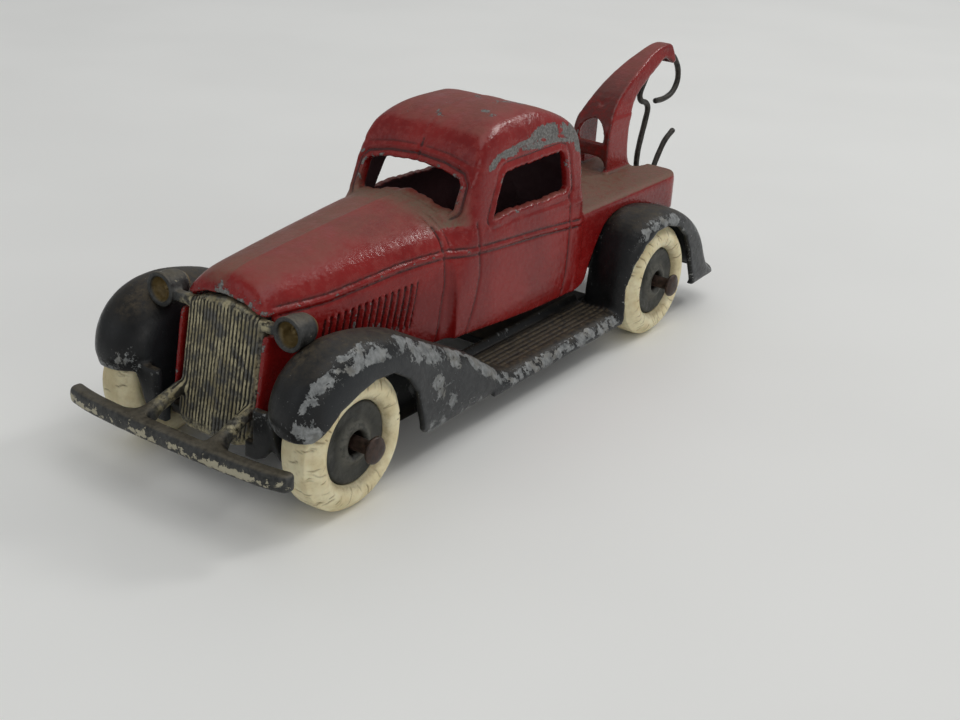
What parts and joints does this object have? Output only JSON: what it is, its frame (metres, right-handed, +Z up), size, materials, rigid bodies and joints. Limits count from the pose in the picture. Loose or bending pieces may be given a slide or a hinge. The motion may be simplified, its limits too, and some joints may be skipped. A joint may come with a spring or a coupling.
{
  "type": "toy tow truck",
  "caption": "Small die-cast toy tow truck: hollow red cab with a curved derrick and swinging wire hook, black fenders, plated grille and bumper, rubber tyres on free-turning axles.",
  "frame": {"origin": "on the floor plane, at the middle of the bounding box's base", "axes": "+X towards the front bumper, +Y to the truck's left side, +Z up"},
  "size_m": [0.1124, 0.0382, 0.0364],
  "materials": {
    "red_enamel": "gloss, aged and chipped",
    "black_enamel": "satin, worn through to grey metal",
    "tarnished_plate": "tarnished and flaking",
    "hub_metal": "dull dark plating, worn on the boss",
    "white_rubber": "matt, yellowed and cracked",
    "axle_steel": "dull, browned",
    "hook_steel": "dark, slightly shiny"
  },
  "bodies": {
    "truck": {"body_casting": "red_enamel", "chassis_casting": "black_enamel", "grille_bumper_casting": "tarnished_plate"},
    "front_axle": {"front_axle": "axle_steel"},
    "rear_axle": {"rear_axle": "axle_steel"},
    "front_left_wheel": {"front_left_hub": "hub_metal", "front_left_tyre": "white_rubber"},
    "front_right_wheel": {"front_right_hub": "hub_metal", "front_right_tyre": "white_rubber"},
    "rear_left_wheel": {"rear_left_hub": "hub_metal", "rear_left_tyre": "white_rubber"},
    "rear_right_wheel": {"rear_right_hub": "hub_metal", "rear_right_tyre": "white_rubber"},
    "tow_hook": {"tow_hook": "hook_steel"}
  },
  "joints": [
    {"name": "front_axle_spin", "type": "hinge", "parent": "truck", "child": "front_axle", "pos_m": [0.0431, 0, 0.00808], "axis": [0, 1, 0], "continuous": true},
    {"name": "rear_axle_spin", "type": "hinge", "parent": "truck", "child": "rear_axle", "pos_m": [-0.0239, 0, 0.00808], "axis": [0, 1, 0], "continuous": true},
    {"name": "front_left_wheel_spin", "type": "hinge", "parent": "front_axle", "child": "front_left_wheel", "pos_m": [0.0431, 0.0139, 0.00808], "axis": [0, 1, 0], "continuous": true},
    {"name": "front_right_wheel_spin", "type": "hinge", "parent": "front_axle", "child": "front_right_wheel", "pos_m": [0.0431, -0.0139, 0.00808], "axis": [0, 1, 0], "continuous": true},
    {"name": "rear_left_wheel_spin", "type": "hinge", "parent": "rear_axle", "child": "rear_left_wheel", "pos_m": [-0.0239, 0.0139, 0.00808], "axis": [0, 1, 0], "continuous": true},
    {"name": "rear_right_wheel_spin", "type": "hinge", "parent": "rear_axle", "child": "rear_right_wheel", "pos_m": [-0.0239, -0.0139, 0.00808], "axis": [0, 1, 0], "continuous": true},
    {"name": "tow_hook_swing", "type": "hinge", "parent": "truck", "child": "tow_hook", "pos_m": [-0.05035, 0, 0.03478], "axis": [0, 1, 0], "range_deg": [-20, 35]}
  ]
}
